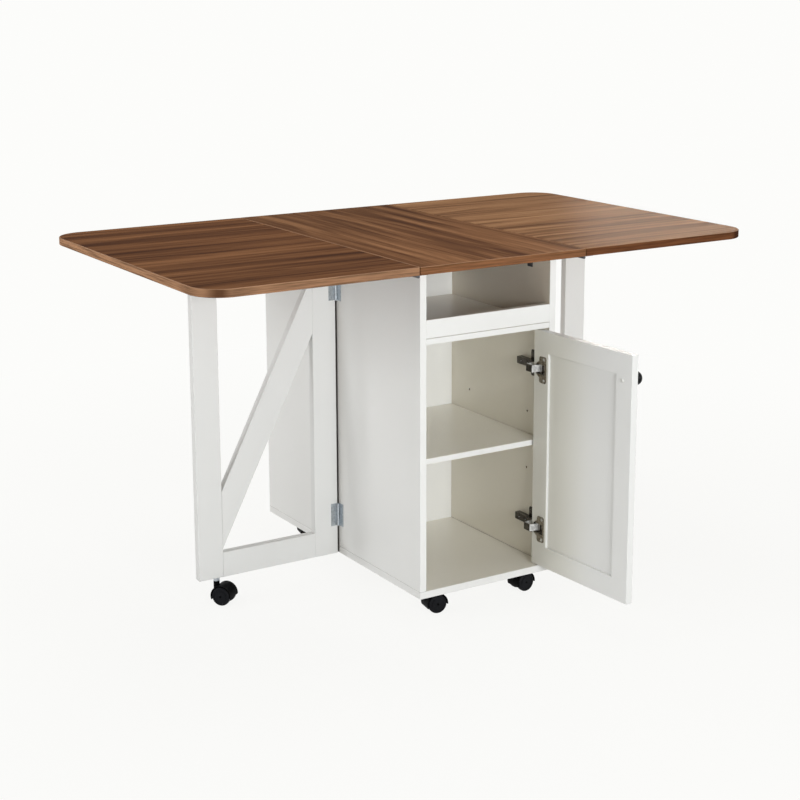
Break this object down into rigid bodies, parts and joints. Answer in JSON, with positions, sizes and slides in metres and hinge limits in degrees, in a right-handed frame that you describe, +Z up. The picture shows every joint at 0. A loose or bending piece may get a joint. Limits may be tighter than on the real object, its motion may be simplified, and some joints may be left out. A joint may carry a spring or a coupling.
{
  "type": "drop-leaf kitchen table with storage cabinet",
  "caption": "Folding kitchen table on casters: dark wood-look top with drop leaves on swing-out gate legs, over a white cabinet with shelves and a panelled door.",
  "frame": {"origin": "on the floor, under the middle of the table top and of the cabinet", "axes": "+X along the table, from the left leaf to the right leaf as seen from the door side; +Y from the door side to the back; +Z up"},
  "size_m": [1.3, 0.9886, 0.75],
  "materials": {
    "walnut_top": "satin",
    "white_board": "satin",
    "white_paint": "satin",
    "zinc": "satin",
    "nickel": "polished",
    "black_plastic": "matte",
    "black_knob": "satin"
  },
  "bodies": {
    "cabinet": {"bottom_panel": "white_board", "side_panel_left": "white_board", "side_panel_right": "white_board", "partition": "white_board", "upper_shelf_front": "white_board", "upper_shelf_rear": "white_board", "lip_rail": "white_board", "middle_shelf_front": "white_board", "middle_shelf_rear": "white_board", "shelf_pins": "zinc", "cam_locks": "zinc", "top_centre": "walnut_top", "top_brackets": "zinc", "bracket_screws": "zinc", "door_stop": "white_board", "door_hinge_mounts": "nickel", "door_hinge_arms": "nickel", "gate_hinge_fixed_wings": "zinc", "gate_hinge_pins": "zinc", "leaf_hinge_fixed_wings": "zinc", "leaf_hinge_pins": "zinc", "caster_stems": "zinc"},
    "door": {"door_stile_hinge": "white_paint", "door_stile_free": "white_paint", "door_rail_top": "white_paint", "door_rail_bottom": "white_paint", "door_panel": "white_paint", "door_hinge_cups": "nickel", "door_knob": "black_knob", "knob_screw": "zinc"},
    "gate_left": {"gate_outer_stile_left": "white_paint", "gate_inner_stile_left": "white_paint", "gate_top_rail_left": "white_paint", "gate_bottom_rail_left": "white_paint", "gate_brace_left": "white_paint", "gate_hinge_wings_left": "zinc", "caster_stem_gate_left": "zinc"},
    "leaf_left": {"leaf_left": "walnut_top", "leaf_hinge_wings_left": "zinc"},
    "gate_right": {"gate_outer_stile_right": "white_paint", "gate_inner_stile_right": "white_paint", "gate_top_rail_right": "white_paint", "gate_bottom_rail_right": "white_paint", "gate_brace_right": "white_paint", "gate_hinge_wings_right": "zinc", "caster_stem_gate_right": "zinc"},
    "leaf_right": {"leaf_right": "walnut_top", "leaf_hinge_wings_right": "zinc"},
    "caster_front_left": {"caster_housing_front_left": "black_plastic"},
    "wheels_front_left": {"caster_wheels_front_left": "black_plastic"},
    "caster_front_right": {"caster_housing_front_right": "black_plastic"},
    "wheels_front_right": {"caster_wheels_front_right": "black_plastic"},
    "caster_back_left": {"caster_housing_back_left": "black_plastic"},
    "wheels_back_left": {"caster_wheels_back_left": "black_plastic"},
    "caster_back_right": {"caster_housing_back_right": "black_plastic"},
    "wheels_back_right": {"caster_wheels_back_right": "black_plastic"},
    "caster_gate_left": {"caster_housing_gate_left": "black_plastic"},
    "wheels_gate_left": {"caster_wheels_gate_left": "black_plastic"},
    "caster_gate_right": {"caster_housing_gate_right": "black_plastic"},
    "wheels_gate_right": {"caster_wheels_gate_right": "black_plastic"}
  },
  "joints": [
    {"name": "door_swing", "type": "hinge", "parent": "cabinet", "child": "door", "pos_m": [0.1355, -0.323, 0.32], "axis": [0, 0, 1], "range_deg": [-93, 2]},
    {"name": "gate_left_fold", "type": "hinge", "parent": "cabinet", "child": "gate_left", "pos_m": [-0.1684, -0.0034, 0.4], "axis": [0, 0, 1], "range_deg": [0, 90]},
    {"name": "gate_right_fold", "type": "hinge", "parent": "cabinet", "child": "gate_right", "pos_m": [0.1684, -0.0034, 0.4], "axis": [0, 0, 1], "range_deg": [-90, 0]},
    {"name": "leaf_left_lift", "type": "hinge", "parent": "cabinet", "child": "leaf_left", "pos_m": [-0.1992, 0, 0.7306], "axis": [0, 1, 0], "range_deg": [0, 6.5]},
    {"name": "leaf_right_lift", "type": "hinge", "parent": "cabinet", "child": "leaf_right", "pos_m": [0.1992, 0, 0.7306], "axis": [0, -1, 0], "range_deg": [0, 6.5]},
    {"name": "caster_front_left_swivel", "type": "hinge", "parent": "cabinet", "child": "caster_front_left", "pos_m": [-0.112, -0.272, 0.04], "axis": [0, 0, 1], "continuous": true},
    {"name": "caster_front_left_roll", "type": "hinge", "parent": "caster_front_left", "child": "wheels_front_left", "pos_m": [-0.09526, -0.27495, 0.02], "axis": [0.1736, 0.9848, 0], "continuous": true},
    {"name": "caster_front_right_swivel", "type": "hinge", "parent": "cabinet", "child": "caster_front_right", "pos_m": [0.112, -0.272, 0.04], "axis": [0, 0, 1], "continuous": true},
    {"name": "caster_front_right_roll", "type": "hinge", "parent": "caster_front_right", "child": "wheels_front_right", "pos_m": [0.12898, -0.27111, 0.02], "axis": [-0.0523, 0.9986, 0], "continuous": true},
    {"name": "caster_back_left_swivel", "type": "hinge", "parent": "cabinet", "child": "caster_back_left", "pos_m": [-0.112, 0.272, 0.04], "axis": [0, 0, 1], "continuous": true},
    {"name": "caster_back_left_roll", "type": "hinge", "parent": "caster_back_left", "child": "wheels_back_left", "pos_m": [-0.09537, 0.26847, 0.02], "axis": [0.2079, 0.9781, 0], "continuous": true},
    {"name": "caster_back_right_swivel", "type": "hinge", "parent": "cabinet", "child": "caster_back_right", "pos_m": [0.112, 0.272, 0.04], "axis": [0, 0, 1], "continuous": true},
    {"name": "caster_back_right_roll", "type": "hinge", "parent": "caster_back_right", "child": "wheels_back_right", "pos_m": [0.12797, 0.27781, 0.02], "axis": [-0.342, 0.9397, 0], "continuous": true},
    {"name": "caster_gate_left_swivel", "type": "hinge", "parent": "gate_left", "child": "caster_gate_left", "pos_m": [-0.457, 0.009, 0.04], "axis": [0, 0, 1], "continuous": true},
    {"name": "caster_gate_left_roll", "type": "hinge", "parent": "caster_gate_left", "child": "wheels_gate_left", "pos_m": [-0.44653, -0.0044, 0.02], "axis": [0.788, 0.6157, 0], "continuous": true},
    {"name": "caster_gate_right_swivel", "type": "hinge", "parent": "gate_right", "child": "caster_gate_right", "pos_m": [0.457, 0.009, 0.04], "axis": [0, 0, 1], "continuous": true},
    {"name": "caster_gate_right_roll", "type": "hinge", "parent": "caster_gate_right", "child": "wheels_gate_right", "pos_m": [0.47002, 0.01993, 0.02], "axis": [-0.6428, 0.766, 0], "continuous": true}
  ]
}
